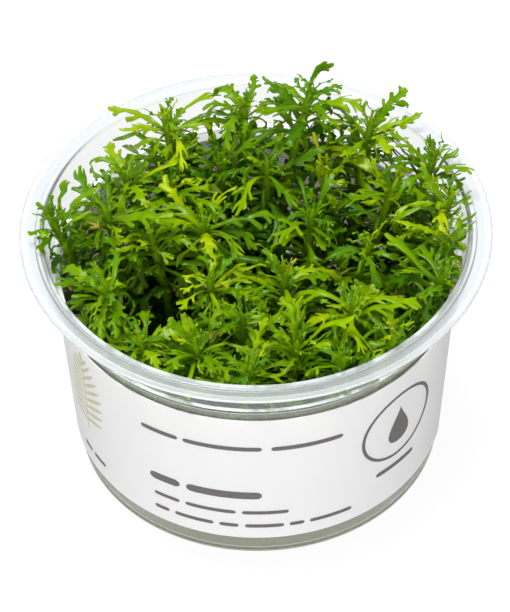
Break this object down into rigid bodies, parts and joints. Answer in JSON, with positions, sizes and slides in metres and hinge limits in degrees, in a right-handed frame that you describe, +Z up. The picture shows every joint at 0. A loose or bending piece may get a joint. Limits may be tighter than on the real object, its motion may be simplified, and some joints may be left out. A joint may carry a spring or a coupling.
{
  "type": "tissue culture giant ambulia",
  "caption": "Round clear culture cup with a flat sealing flange and a paper band, holding a gel pad and a dense cushion of rooted giant ambulia shoots with lobed leaves in whorls.",
  "frame": {"origin": "centre of the cup's foot ring, on the surface it stands on", "axes": "+Z up along the cup's axis, -Y towards the front of the printed band, whose open gap faces +X"},
  "size_m": [0.075, 0.075, 0.0553],
  "materials": {
    "clear_polypropylene": "thin clear moulded polypropylene, glossy, see-through with a slight haze",
    "label_paper": "white coated label paper, satin, printed in grey",
    "nutrient_gel": "wet translucent grey-green agar gel",
    "shoot_green": "living leaf and stem, fresh green, waxy with soft gloss and light passing through the thin lobes"
  },
  "bodies": {
    "root": {"tub": "clear_polypropylene", "label": "label_paper", "gel": "nutrient_gel", "shoot_01": "shoot_green", "shoot_02": "shoot_green", "shoot_03": "shoot_green", "shoot_04": "shoot_green", "shoot_05": "shoot_green", "shoot_06": "shoot_green", "shoot_07": "shoot_green", "shoot_08": "shoot_green", "shoot_09": "shoot_green", "shoot_10": "shoot_green", "shoot_11": "shoot_green", "shoot_12": "shoot_green", "shoot_13": "shoot_green", "shoot_14": "shoot_green", "shoot_15": "shoot_green", "shoot_16": "shoot_green", "shoot_17": "shoot_green", "shoot_18": "shoot_green", "shoot_19": "shoot_green", "shoot_20": "shoot_green", "shoot_21": "shoot_green", "shoot_22": "shoot_green", "shoot_23": "shoot_green", "shoot_24": "shoot_green", "shoot_25": "shoot_green", "shoot_26": "shoot_green", "shoot_27": "shoot_green", "shoot_28": "shoot_green", "shoot_29": "shoot_green", "shoot_30": "shoot_green", "shoot_31": "shoot_green"}
  },
  "joints": []
}
